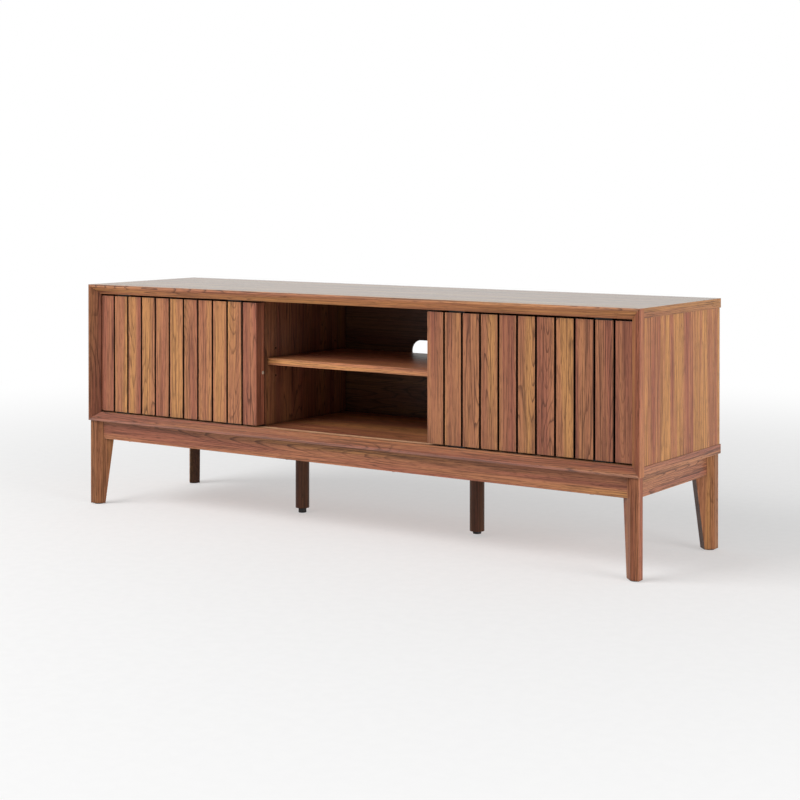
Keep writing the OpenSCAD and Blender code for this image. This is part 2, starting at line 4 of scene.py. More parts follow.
import bmesh
import bpy
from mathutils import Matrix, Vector


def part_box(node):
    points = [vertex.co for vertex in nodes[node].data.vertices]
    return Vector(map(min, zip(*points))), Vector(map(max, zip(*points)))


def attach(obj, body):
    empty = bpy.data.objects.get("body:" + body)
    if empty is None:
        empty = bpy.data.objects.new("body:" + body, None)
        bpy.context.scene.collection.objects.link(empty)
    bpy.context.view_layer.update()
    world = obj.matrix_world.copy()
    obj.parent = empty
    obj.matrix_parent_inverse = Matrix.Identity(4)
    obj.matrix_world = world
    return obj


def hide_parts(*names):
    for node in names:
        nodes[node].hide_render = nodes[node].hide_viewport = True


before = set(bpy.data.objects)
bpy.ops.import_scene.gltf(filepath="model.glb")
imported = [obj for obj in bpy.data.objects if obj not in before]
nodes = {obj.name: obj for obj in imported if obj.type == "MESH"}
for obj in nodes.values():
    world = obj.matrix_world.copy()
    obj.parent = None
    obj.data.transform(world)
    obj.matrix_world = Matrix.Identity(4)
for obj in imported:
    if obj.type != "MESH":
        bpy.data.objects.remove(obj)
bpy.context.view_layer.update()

# ---------- sizes shared with the CAD, in metres ----------
SLAT_PITCH = 0.045
SLAT_GAP = 0.005
SLATS = 11
# distance of a door's two edges from the middle of the stand, when closed
DOOR_INNER = 0.236
DOOR_OUTER = 0.726
MM = 0.001


def linear(srgb):
    """An sRGB colour of 0-255 numbers as linear RGBA."""
    out = []
    for c in srgb:
        c = c / 255
        out.append(c / 12.92 if c <= 0.04045 else ((c + 0.055) / 1.055) ** 2.4)
    return (*out, 1.0)


# ---------- camera, light and backdrop ----------
CAMERA_PLACE = (2.2465, -3.2155, 0.7781)
CAMERA_YAW = 0.6001
CAMERA_PITCH = 0.0073
CAMERA_SENSOR = 36
CAMERA_LENS = 76.53
CAMERA_SHIFT_Y = -0.25
CAMERA_REACH = 200

# strength of the white backdrop as a light, and as the camera sees it
BACKDROP_LIGHT = 0.30
BACKDROP_SHOWN = 1.0

LIGHTS = {
    "key_right": dict(place=(4.2, -0.7, 1.3), target=(0.4, 0, 0.3), size=(2.2, 2.0), watts=66),
    "front_top": dict(place=(-2.0, -3.0, 3.2), target=(0, 0, 0.3), size=(3.6, 2.0), watts=150),
    "back_card": dict(place=(-5.8, 5.6, 1.7), target=(-1.0, 0, 0.5), size=(8.4, 3.0), watts=41,
                      tint=(0.98, 1.0, 0.94)),
}


def make_camera():
    data = bpy.data.cameras.new("camera")
    data.sensor_width = CAMERA_SENSOR
    data.lens = CAMERA_LENS
    data.shift_y = CAMERA_SHIFT_Y
    data.clip_end = CAMERA_REACH
    cam = bpy.data.objects.new("camera", data)
    bpy.context.scene.collection.objects.link(cam)
    cam.location = CAMERA_PLACE
    cam.rotation_euler = (math.pi / 2 - CAMERA_PITCH, 0, CAMERA_YAW)
    bpy.context.scene.camera = cam


def area_light(name, place, target, size, watts, tint=(1, 1, 1)):
    data = bpy.data.lights.new(name, "AREA")
    data.shape = "RECTANGLE"
    data.size, data.size_y = size
    data.energy = watts
    data.color = tint
    lamp = bpy.data.objects.new(name, data)
    lamp.visible_camera = False
    bpy.context.scene.collection.objects.link(lamp)
    lamp.location = place
    way = Vector(target) - Vector(place)
    lamp.rotation_euler = way.to_track_quat("-Z", "Y").to_euler()


def make_world():
    """White backdrop that lights the object with less than it shows."""
    world = bpy.data.worlds.new("studio")
    bpy.context.scene.world = world
    world.use_nodes = True
    tree = world.node_tree
    back = tree.nodes["Background"]
    back.inputs["Color"].default_value = (1, 1, 1, 1)
    path = tree.nodes.new("ShaderNodeLightPath")
    level = tree.nodes.new("ShaderNodeMapRange")
    level.inputs["To Min"].default_value = BACKDROP_LIGHT
    level.inputs["To Max"].default_value = BACKDROP_SHOWN
    tree.links.new(path.outputs["Is Camera Ray"], level.inputs["Value"])
    tree.links.new(level.outputs["Result"], back.inputs["Strength"])


# ---------- node helpers ----------
# the colour sockets of a Mix node
MIX_A, MIX_B, MIX_RESULT = 6, 7, 2
BUMP_STRENGTH = 0.5
EDGE_SAMPLES = 4
# cosine between the flat and the rounded normal, from a flat to an edge
EDGE_TURN = (0.99, 0.8)
CREASE_SAMPLES = 6


class Tree:
    """Builds a shader node tree with short calls."""

    def __init__(self, name):
        self.material = bpy.data.materials.new(name)
        self.material.use_nodes = True
        self.tree = self.material.node_tree
        self.tree.nodes.clear()

    def add(self, kind, **settings):
        node = self.tree.nodes.new(kind)
        for key, value in settings.items():
            setattr(node, key, value)
        return node

    def put(self, socket, value):
        """Links an output to a socket, or sets the socket to a number or tuple."""
        if isinstance(value, bpy.types.NodeSocket):
            self.tree.links.new(value, socket)
        else:
            socket.default_value = value

    def math(self, operation, a, b=0.0, c=0.0, clamp=False):
        node = self.add("ShaderNodeMath", operation=operation, use_clamp=clamp)
        for socket, value in zip(node.inputs, (a, b, c)):
            self.put(socket, value)
        return node.outputs[0]

    def vector(self, operation, a, b=(0.0, 0.0, 0.0)):
        node = self.add("ShaderNodeVectorMath", operation=operation)
        self.put(node.inputs[0], a)
        self.put(node.inputs[1], b)
        return node.outputs["Value" if operation == "DOT_PRODUCT" else "Vector"]

    def noise(self, place, scale, detail=2.0, rough=0.5, distortion=0.0):
        """Noise over a place stretched by a (x, y, z) scale in 1/m."""
        node = self.add("ShaderNodeTexNoise")
        self.put(node.inputs["Vector"], self.vector("MULTIPLY", place, scale))
        node.inputs["Scale"].default_value = 1
        node.inputs["Detail"].default_value = detail
        node.inputs["Roughness"].default_value = rough
        node.inputs["Distortion"].default_value = distortion
        return node.outputs["Fac"]

    def ramp(self, value, low, high, to_low=0.0, to_high=1.0):
        """Smooth step from to_low at low to to_high at high."""
        node = self.add("ShaderNodeMapRange", interpolation_type="SMOOTHSTEP")
        self.put(node.inputs["Value"], value)
        node.inputs["From Min"].default_value = low
        node.inputs["From Max"].default_value = high
        node.inputs["To Min"].default_value = to_low
        node.inputs["To Max"].default_value = to_high
        return node.outputs["Result"]

    def mix(self, factor, a, b, blend="MIX"):
        node = self.add("ShaderNodeMix", data_type="RGBA", blend_type=blend)
        self.put(node.inputs["Factor"], factor)
        self.put(node.inputs[MIX_A], a)
        self.put(node.inputs[MIX_B], b)
        return node.outputs[MIX_RESULT]

    def split(self, coordinates):
        """The x, y and z of the object's own coordinates or of its normals."""
        xyz = self.add("ShaderNodeSeparateXYZ")
        self.put(xyz.inputs[0], self.add("ShaderNodeTexCoord").outputs[coordinates])
        return xyz.outputs

    def only(self, kind):
        """The tree's one node of a kind."""
        return next(node for node in self.tree.nodes if node.type == kind)

    def shader(self, colour, rough, height=None, depth=0.0, **sockets):
        """Closes the tree with a Principled shader, and a bump when there is a height."""
        bsdf = self.add("ShaderNodeBsdfPrincipled")
        self.put(bsdf.inputs["Base Color"], colour)
        self.put(bsdf.inputs["Roughness"], rough)
        for key, value in sockets.items():
            bsdf.inputs[key.replace("_", " ")].default_value = value
        if height is not None:
            bump = self.add("ShaderNodeBump")
            bump.inputs["Strength"].default_value = BUMP_STRENGTH
            bump.inputs["Distance"].default_value = depth
            self.put(bump.inputs["Height"], height)
            self.put(bsdf.inputs["Normal"], bump.outputs["Normal"])
        out = self.add("ShaderNodeOutputMaterial")
        self.put(out.inputs["Surface"], bsdf.outputs["BSDF"])
        return self.material


def edge_mask(t, radius):
    """1 close to an edge, 0 on the flats."""
    bevel = t.add("ShaderNodeBevel", samples=EDGE_SAMPLES)
    bevel.inputs["Radius"].default_value = radius
    flat = t.add("ShaderNodeNewGeometry").outputs["True Normal"]
    same = t.vector("DOT_PRODUCT", bevel.outputs["Normal"], flat)
    return t.ramp(same, *EDGE_TURN)


def crease_shade_mask(t, shade_reach):
    """Painted shade: 1 on open surfaces, falling to 0 deep in a joint, a corner or under an
    overhang.
    """
    node = t.add("ShaderNodeAmbientOcclusion", samples=CREASE_SAMPLES)
    node.inputs["Distance"].default_value = shade_reach
    return node.outputs["AO"]


def facing(t, way, above):
    """1 on the faces that look along way, in object coordinates."""
    normal = t.add("ShaderNodeTexCoord").outputs["Normal"]
    return t.math("GREATER_THAN", t.vector("DOT_PRODUCT", normal, way), above)


def sideways(t, above):
    """1 on the faces that look to the left or to the right."""
    return t.math("GREATER_THAN", t.math("ABSOLUTE", t.split("Normal")[0]), above)


# ---------- wood ----------
GOLD = linear((204, 144, 88))
TAN = linear((188, 124, 86))
ROSE = linear((168, 101, 77))
UMBER = linear((70, 36, 24))
# near black brown: painted shade in the doors' grooves, on their boards and ends; also the legs'
# dark inner ends
NEAR_BLACK_BROWN = linear((20, 12, 8))
# dark brown: painted shade on the back panel, and the darker mid legs
DARK_BROWN = linear((32, 23, 11))
WORN = linear((206, 160, 120))
WORN_DARK = linear((76, 56, 36))

# noise layers, with scales in 1/m across, across and along the grain
FIELD = dict(scale=(13, 13, 1.1), detail=1.2, distortion=0.35)
RIPPLE = dict(scale=(70, 70, 7), detail=2)
BANDS = dict(scale=(34, 34, 1.2), detail=2.2)
CLOUDS = dict(scale=(9, 9, 2.2), detail=2)
STREAKS = dict(scale=(300, 300, 3.4), detail=3, rough=0.66)
LINES = dict(scale=(620, 620, 7), detail=2, rough=0.6)
FIBRES = dict(scale=(1500, 1500, 22), detail=2)
PORES = dict(scale=(900, 900, 42), detail=1)

# ramps: from low to high in the value, and what they give there when not 0 and 1
RING_RISE = (0.68, 0.95)
RING_FALL = (1.0, 0.96)
VEIN_PATCHES = (0.40, 0.58, 0.12, 1.0)
PORE_HOLES = (0.58, 0.70)
GOLD_TO_TAN = (0.0, 0.5)
TAN_TO_ROSE = (0.45, 1.0)
DARK_STREAKS = (0.50, 0.70, 0.0, 0.62)
PALE_STREAKS = (0.46, 0.30, 0.0, 0.24)
DARK_LINES = (0.50, 0.64, 0.0, 0.62)
# painted shade in creases: how dark the wood gets where it is hemmed in
CREASE_SHADE_RAMP = (0.25, 0.95, 0.3, 1.0)
WORN_SHARE = (0.35, 0.6, 0.05, 0.2)

RING_COUNT = 42
RING_RIPPLE = 1.2
VEIN_SHARE = 0.72
PORE_SHARE = 0.6
FIBRE_RANGE = (0.3, 0.7)
FIBRE_DARK, FIBRE_PALE = 0.94, 1.13
ROUGH_SPREAD = 0.16
FIBRE_HEIGHT = 0.4
GRAIN_DEPTH = 0.25 * MM
WORN_RADIUS = 1.2 * MM
COAT_ROUGHNESS = 0.18
# how far one seed, one slat and an end face move the grain, so that no two boards match
SEED_SHIFT = (3.17, 1.73, 2.41)
SLAT_SHIFT = (9, 7, 5)
END_SEED = 5
# least cosine between a face's normal and the way it is said to look
COAT_FACING = 0.3
END_FACING = 0.7
SIDE_FACING = 0.8


def grain_place(t, along, seed):
    """Object coordinates with the grain along the third one, shifted by the seed."""
    xyz = t.split("Object")
    order = {"X": (1, 2, 0), "Y": (0, 2, 1), "Z": (0, 1, 2)}[along]
    place = t.add("ShaderNodeCombineXYZ")
    for socket, axis in zip(place.inputs, order):
        t.put(socket, xyz[axis])
    return t.vector("ADD", place.outputs[0], tuple(seed * step for step in SEED_SHIFT))


def slat_share(t, left_edge):
    """How far along a door a place is: each slat takes an equal share, from 0 to 1."""
    start = left_edge - SLAT_GAP / 2
    return t.math("DIVIDE", t.math("SUBTRACT", t.split("Object")[0], start), SLATS * SLAT_PITCH)


def slat_random(t, share):
    """Random colour for each slat."""
    white = t.add("ShaderNodeTexWhiteNoise", noise_dimensions="1D")
    t.put(white.inputs["W"], t.math("FLOOR", t.math("MULTIPLY", share, SLATS)))
    return white.outputs["Color"]


def slat_tone(t, share, tones):
    """The tone of each slat in turn, from a list."""
    ramp = t.add("ShaderNodeValToRGB")
    ramp.color_ramp.interpolation = "CONSTANT"
    stops = ramp.color_ramp.elements
    while len(stops) < len(tones):
        stops.new(0.5)
    for index in range(len(tones)):
        stops[index].position = index / len(tones)
    for index, tone in enumerate(tones):
        stops[index].color = (tone, tone, tone, 1)
    t.put(ramp.inputs["Fac"], share)
    return ramp.outputs["Color"]


def ring_veins(t, place, figure):
    """Dark growth rings, drawn as contour lines of a slow noise, in patches."""
    waves = t.math("MULTIPLY", t.noise(place, **FIELD), RING_COUNT * figure)
    rings = t.math("MULTIPLY_ADD", t.noise(place, **RIPPLE), RING_RIPPLE, waves)
    rings = t.math("FRACT", rings)
    line = t.math("MULTIPLY", t.ramp(rings, *RING_RISE), t.ramp(rings, *RING_FALL))
    vein = t.math("MULTIPLY", line, t.ramp(t.noise(place, **CLOUDS), *VEIN_PATCHES))
    return t.math("MULTIPLY", vein, VEIN_SHARE * min(figure, 1.0))


def wood(name, along, seed, tone=None, slats=None, end_along=None, figure=1.0, contrast=2.6,
         tone_and_shade_gain=1.0, side_light_gain=None, shaded=None, dark_share=0.9, dark=0.0, shade_reach=0.010,
         rough=0.36, gloss=0.3, coat=0.0, coat_way=(0, 0, 1)):
    """Walnut veneer: growth rings, colour bands, streaks, fibres and pores.

    along is the grain's axis, and end_along its axis on the left and right faces.
    tone runs from 0 golden to 1 rose; slats gives a door's left edge and its slats' tones.
    shaded is a function of the tree that gives where the wood is darkened: painted shade in a
    door's grooves, on its board and on its ends, and the dark inner ends of the legs.
    reach is how far from a joint or corner the painted shade in creases darkens, and coat
    a gloss on faces along coat_way. gain sets a board's brightness, partly its own tone and
    partly painted light and shade; side_light_gain paints light on faces that look left or right."""
    t = Tree(name)
    place = grain_place(t, along, seed)
    if end_along:
        end_place = grain_place(t, end_along, seed + END_SEED)
        place = t.mix(sideways(t, END_FACING), place, end_place)
    if slats:
        left_edge, tones = slats
        share = slat_share(t, left_edge)
        shift = t.vector("MULTIPLY", slat_random(t, share), SLAT_SHIFT)
        place = t.vector("ADD", place, shift)
        tone = slat_tone(t, share, tones)
    streaks = t.noise(place, **STREAKS)
    fibres = t.noise(place, **FIBRES)
    pores = t.ramp(t.noise(place, **PORES), *PORE_HOLES)

    drift = t.math("MULTIPLY_ADD", t.noise(place, **BANDS), contrast, -contrast / 2)
    where = t.math("ADD", drift, tone, clamp=True)
    colour = t.mix(t.ramp(where, *GOLD_TO_TAN), GOLD, TAN)
    colour = t.mix(t.ramp(where, *TAN_TO_ROSE), colour, ROSE)
    colour = t.mix(ring_veins(t, place, figure), colour, UMBER)
    colour = t.mix(t.ramp(streaks, *DARK_STREAKS), colour, UMBER)
    colour = t.mix(t.ramp(streaks, *PALE_STREAKS), colour, GOLD)
    colour = t.mix(t.ramp(t.noise(place, **LINES), *DARK_LINES), colour, UMBER)
    colour = t.mix(t.math("MULTIPLY", pores, PORE_SHARE), colour, UMBER)

    # painted shade: the wood darkens in joints, corners and under overhangs
    painted_crease_shade = t.ramp(crease_shade_mask(t, shade_reach), *CREASE_SHADE_RAMP)
    # gain sets a board's brightness: partly its own tone, partly painted light and shade
    fibre_shade = t.ramp(fibres, *FIBRE_RANGE, FIBRE_DARK * tone_and_shade_gain, FIBRE_PALE * tone_and_shade_gain)
    shade = t.math("MULTIPLY", painted_crease_shade, fibre_shade)
    # painted light: faces that look left or right are made brighter
    if side_light_gain:
        side_brightening = t.math("MULTIPLY_ADD", sideways(t, SIDE_FACING), side_light_gain - 1, 1.0)
        shade = t.math("MULTIPLY", shade, side_brightening)
    colour = t.mix(1.0, colour, t.vector("MULTIPLY", (1, 1, 1), shade), "MULTIPLY")
    # painted shade in a door's grooves, on its board and on its ends; the legs' inner ends are
    # darkened too
    if shaded:
        colour = t.mix(t.math("MULTIPLY", shaded(t), dark_share), colour, NEAR_BLACK_BROWN)
    # painted shade on the back panel; the mid legs are darkened the same way
    if dark:
        colour = t.mix(dark, colour, DARK_BROWN)
    worn = t.math("MULTIPLY", edge_mask(t, WORN_RADIUS), t.ramp(streaks, *WORN_SHARE))
    colour = t.mix(worn, colour, WORN_DARK if dark else WORN)

    roughness = t.math("MULTIPLY_ADD", streaks, ROUGH_SPREAD, rough - ROUGH_SPREAD / 2)
    height = t.math("SUBTRACT", t.math("MULTIPLY", fibres, FIBRE_HEIGHT), pores)
    material = t.shader(colour, roughness, height, GRAIN_DEPTH, Specular_IOR_Level=gloss,
                        Coat_Roughness=COAT_ROUGHNESS)
    if coat:
        mask = t.math("MULTIPLY", facing(t, coat_way, COAT_FACING), coat)
        t.put(t.only("BSDF_PRINCIPLED").inputs["Coat Weight"], mask)
    return material


# ---------- other materials ----------
# noise layers, with scales in 1/m
BLOTCHES = dict(scale=(90, 90, 90), detail=4)
BRUSHED = dict(scale=(1600, 1600, 120), detail=2)
MOULD_TEXTURE = dict(scale=(2600, 2600, 2600), detail=1)
PLASTIC_CLOUDS = dict(scale=(60, 60, 60), detail=3)
FLOOR_GRAIN = dict(scale=(40, 40, 40), detail=4)

METAL_DIM = 0.72
METAL_DULL = (0.35, 0.7)
METAL_EDGE = linear((225, 225, 225))
METAL_EDGE_RADIUS = 0.6 * MM
METAL_EDGE_SHARE = 0.5
METAL_ROUGH_SPREAD = 0.25
METAL_ROUGH_BELOW = 0.12
METAL_DEPTH = 0.06 * MM

PLASTIC_PALER = 1.35
PLASTIC_LIFT = 14
PLASTIC_CLOUDY = (0.3, 0.75, 0.0, 0.35)
PLASTIC_EDGE_RADIUS = 0.5 * MM
PLASTIC_EDGE_SHARE = 0.4
PLASTIC_ROUGH_SPREAD = 0.2
PLASTIC_DEPTH = 0.08 * MM

FLOOR_DIM = (0.93, 0.93, 0.93, 1)
FLOOR_PALE = (0.96, 0.96, 0.96, 1)
FLOOR_MOTTLE = (0.3, 0.7)
FLOOR_ROUGHNESS = 0.8
FLOOR_GLOSS = 0.2
FLOOR_RADIUS = 60
FLOOR_SEGMENTS = 96
# metres from the middle over which the floor fades to white, and its glow before that
FLOOR_FADE = (0.7, 3.2)
FLOOR_GLOW = 0.42


def metal(name, srgb, rough):
    """Brushed metal with dull blotches and bright edges."""
    t = Tree(name)
    place = t.add("ShaderNodeTexCoord").outputs["Object"]
    blotch = t.noise(place, **BLOTCHES)
    brushed = t.noise(place, **BRUSHED)
    dim = linear([METAL_DIM * c for c in srgb])
    colour = t.mix(t.ramp(blotch, *METAL_DULL), linear(srgb), dim)
    edge = t.math("MULTIPLY", edge_mask(t, METAL_EDGE_RADIUS), METAL_EDGE_SHARE)
    colour = t.mix(edge, colour, METAL_EDGE)
    low_rough = rough - METAL_ROUGH_BELOW
    roughness = t.math("MULTIPLY_ADD", blotch, METAL_ROUGH_SPREAD, low_rough)
    return t.shader(colour, roughness, brushed, METAL_DEPTH, Metallic=1.0)


def plastic(name, srgb, rough):
    """Moulded plastic or a coat of paint, cloudy and paler along its edges."""
    t = Tree(name)
    place = t.add("ShaderNodeTexCoord").outputs["Object"]
    texture = t.noise(place, **MOULD_TEXTURE)
    cloud = t.noise(place, **PLASTIC_CLOUDS)
    pale = linear([min(255, PLASTIC_PALER * c + PLASTIC_LIFT) for c in srgb])
    colour = t.mix(t.ramp(cloud, *PLASTIC_CLOUDY), linear(srgb), pale)
    edge = t.math("MULTIPLY", edge_mask(t, PLASTIC_EDGE_RADIUS), PLASTIC_EDGE_SHARE)
    colour = t.mix(edge, colour, pale)
    low_rough = rough - PLASTIC_ROUGH_SPREAD / 2
    roughness = t.math("MULTIPLY_ADD", cloud, PLASTIC_ROUGH_SPREAD, low_rough)
    return t.shader(colour, roughness, texture, PLASTIC_DEPTH)


def floor_material():
    """Pale paper near the object that partly glows, painted light that lifts the shadows on it,
    fading to the backdrop's own white further out.
    """
    t = Tree("studio_floor")
    place = t.add("ShaderNodeTexCoord").outputs["Object"]
    mottle = t.ramp(t.noise(place, **FLOOR_GRAIN), *FLOOR_MOTTLE)
    colour = t.mix(mottle, FLOOR_DIM, FLOOR_PALE)
    material = t.shader(colour, FLOOR_ROUGHNESS, Specular_IOR_Level=FLOOR_GLOSS)
    length = t.add("ShaderNodeVectorMath", operation="LENGTH")
    t.put(length.inputs[0], place)
    glow = t.add("ShaderNodeEmission")
    mixer = t.add("ShaderNodeMixShader")
    # painted light: the floor glows partly near the object, and fully further out
    t.put(mixer.inputs[0], t.ramp(length.outputs["Value"], *FLOOR_FADE, FLOOR_GLOW, 1.0))
    t.put(mixer.inputs[1], t.only("BSDF_PRINCIPLED").outputs["BSDF"])
    t.put(mixer.inputs[2], glow.outputs["Emission"])
    t.put(t.only("OUTPUT_MATERIAL").inputs["Surface"], mixer.outputs[0])
    return material


# ---------- pieces ----------
WELD_REACH = 1e-5
BEVEL_SEGMENTS = 2
BEVEL_ANGLE = math.radians(35)
TURNED_SHARP_ANGLE = math.radians(38)

# foot of a leveller in mm, from the floor up: distance in from the rim, height, ribbed or not
FOOT_PROFILE = [(0.8, 0, False), (0.2, 0.3, False), (0, 0.9, False), (0, 2.4, False),
                (0, 2.8, True), (0, 9.4, True), (0.2, 9.8, False), (0.8, 11.0, False),
                (1.6, 11.5, False)]
FOOT_TOP = 11.5 * MM
FOOT_STEPS = 96
FOOT_RIBS = 24
RIB_DEPTH = 0.5 * MM
STEM_RADIUS = 4.0 * MM
THREAD_ROOT = 3.4 * MM
THREAD_PITCH = 1.25 * MM
THREAD_START = 12 * MM
STEM_END_HEIGHT = 0.4 * MM
STEM_END_INSET = 0.5 * MM

DOME_STEPS = 40
DOME_RINGS = 6
# share of a bumper's thickness that is a plain rim under its dome
DOME_RIM = 0.4


def dress(name, material, width):
    """Gives a CAD node its material and soft edges."""
    obj = nodes[name]
    for index in range(len(obj.material_slots)):
        obj.material_slots[index].material = material
    if not obj.material_slots:
        obj.data.materials.append(material)
    weld = obj.modifiers.new("weld", "WELD")
    weld.merge_threshold = WELD_REACH
    bevel = obj.modifiers.new("soft_edges", "BEVEL")
    bevel.width = width
    bevel.segments = BEVEL_SEGMENTS
    bevel.limit_method = "ANGLE"
    bevel.angle_limit = BEVEL_ANGLE
    bevel.use_clamp_overlap = True
    normals = obj.modifiers.new("normals", "WEIGHTED_NORMAL")
    normals.keep_sharp = False


def join_rings(bm, lower, upper, steps):
    """Faces between two rings of points; a ring on the axis is a single point."""
    for i in range(steps):
        j = (i + 1) % steps
        if len(lower) == 1:
            bm.faces.new((lower[0], upper[j], upper[i]))
        elif len(upper) == 1:
            bm.faces.new((lower[i], lower[j], upper[0]))
        else:
            bm.faces.new((lower[i], lower[j], upper[j], upper[i]))


def turned(name, profile, place, way, steps, ribs=0, rib_depth=0.0):
    """A closed turned piece. profile lists (radius, height, ribbed) from one end to the other."""
    mesh = bpy.data.meshes.new(name)
    bm = bmesh.new()
    rings = []
    for radius, height, ribbed in profile:
        if radius == 0:
            rings.append([bm.verts.new((0, 0, height))])
            continue
        ring = []
        for i in range(steps):
            angle = 2 * math.pi * i / steps
            wave = 0.5 - 0.5 * math.cos(ribs * angle)
            r = radius - (rib_depth * wave if ribbed else 0)
            ring.append(bm.verts.new((r * math.cos(angle), r * math.sin(angle), height)))
        rings.append(ring)
    for lower, upper in zip(rings, rings[1:]):
        join_rings(bm, lower, upper, steps)
    for face in bm.faces:
        face.smooth = True
    bm.normal_update()
    bm.to_mesh(mesh)
    bm.free()
    mesh.set_sharp_from_angle(angle=TURNED_SHARP_ANGLE)
    piece = bpy.data.objects.new(name, mesh)
    bpy.context.scene.collection.objects.link(piece)
    piece.location = place
    piece.rotation_euler = Vector(way).to_track_quat("Z", "Y").to_euler()
    bpy.context.view_layer.update()
    return piece


def stand_in(piece, node, body, material):
    """Puts a turned piece in the place of one CAD node."""
    piece.data.materials.append(material)
    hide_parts(node)
    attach(piece, body)


def make_leveller(side, material):
    """Foot with a ribbed grip and a threaded stem."""
    node = side + "_leveller"
    low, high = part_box(node)
    foot = (high[0] - low[0]) / 2
    top = high[2] - low[2]
    profile = [(0, 0, False)]
    for inset, height, ribbed in FOOT_PROFILE:
        profile.append((foot - inset * MM, height * MM, ribbed))
    profile.append((STEM_RADIUS, FOOT_TOP, False))
    height = THREAD_START
    while height + THREAD_PITCH < top:
        profile.append((STEM_RADIUS, height, False))
        profile.append((THREAD_ROOT, height + THREAD_PITCH / 2, False))
        height += THREAD_PITCH
    profile.append((THREAD_ROOT, top - STEM_END_HEIGHT, False))
    profile.append((THREAD_ROOT - STEM_END_INSET, top, False))
    profile.append((0, top, False))
    place = ((low[0] + high[0]) / 2, (low[1] + high[1]) / 2, low[2])
    piece = turned(side + "_leveller_turned", profile, place, (0, 0, 1), FOOT_STEPS,
                   FOOT_RIBS, RIB_DEPTH)
    stand_in(piece, node, side + "_leveller_foot", material)


def make_bumper(side, way, material):
    """Small domed pad on a door's inner edge."""
    node = side + "_door_bumper"
    low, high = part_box(node)
    radius = (high[2] - low[2]) / 2
    thick = high[0] - low[0]
    profile = [(0, 0, False), (radius, 0, False), (radius, DOME_RIM * thick, False)]
    for i in range(1, DOME_RINGS):
        turn = math.radians(90 / DOME_RINGS * i)
        height = thick * (DOME_RIM + (1 - DOME_RIM) * math.sin(turn))
        profile.append((radius * math.cos(turn), height, False))
    profile.append((0, thick, False))
    start = low[0] if way > 0 else high[0]
    place = (start, (low[1] + high[1]) / 2, (low[2] + high[2]) / 2)
    piece = turned(side + "_bumper_dome", profile, place, (way, 0, 0), DOME_STEPS)
    stand_in(piece, node, side + "_door", material)


def make_floor():
    """A wide pale disc under the object, which is part of the studio."""
    mesh = bpy.data.meshes.new("floor")
    bm = bmesh.new()
    bmesh.ops.create_circle(bm, cap_ends=True, segments=FLOOR_SEGMENTS, radius=FLOOR_RADIUS)
    bm.to_mesh(mesh)
    bm.free()
    floor = bpy.data.objects.new("floor", mesh)
    bpy.context.scene.collection.objects.link(floor)
    floor.data.materials.append(floor_material())


# ---------- where wood is darkened: painted shade on the doors, dark inner ends on the legs ---
SHADE_FACING = 0.6
# share of the painted shade on the ends of a door, where its grooves have 1
THIN_SHADE = 0.3


def slat_groove_shade(t):
    """Painted shade on the sides of the grooves between slats, and thinly on the two ends of a
    door.
    """
    distance = t.math("ABSOLUTE", t.split("Object")[0])
    inner = t.math("GREATER_THAN", distance, DOOR_INNER + 2 * MM)
    outer = t.math("LESS_THAN", distance, DOOR_OUTER - 2 * MM)
    groove = t.math("MULTIPLY", inner, outer)
    depth = t.math("MULTIPLY_ADD", groove, 1 - THIN_SHADE, THIN_SHADE)
    return t.math("MULTIPLY", sideways(t, SHADE_FACING), depth)


def board_shade(t):
    """Painted shade on the front of a door board, seen between the slats, and on its rear; thinly
    on its ends.
    """
    flat = t.math("LESS_THAN", t.math("ABSOLUTE", t.split("Normal")[0]), SHADE_FACING)
    return t.math("MULTIPLY_ADD", flat, 1 - THIN_SHADE, THIN_SHADE)


def leg_inside(side_x, side_y):
    """The tapered end of a corner leg, which looks towards the middle of the floor."""
    way = (-side_x * math.sqrt(0.5), -side_y * math.sqrt(0.5), 0.0)
    return lambda t: facing(t, way, SIDE_FACING)


# ---------- looks of the nodes ----------
# tone of each slat from left to right: 0 golden, 0.5 tan, 1 rose
LEFT_TONES = (0.8, 0.5, 0.55, 0.5, 0.6, 0.4, 0.85, 0.5, 0.55, 0.45, 0.85)
# the right door's last slat, 1.1, is darker as painted shade from the frame beside it
RIGHT_TONES = (0.4, 0.5, 0.7, 0.5, 0.6, 0.6, 0.7, 0.3, 0.6, 0.85, 1.1)
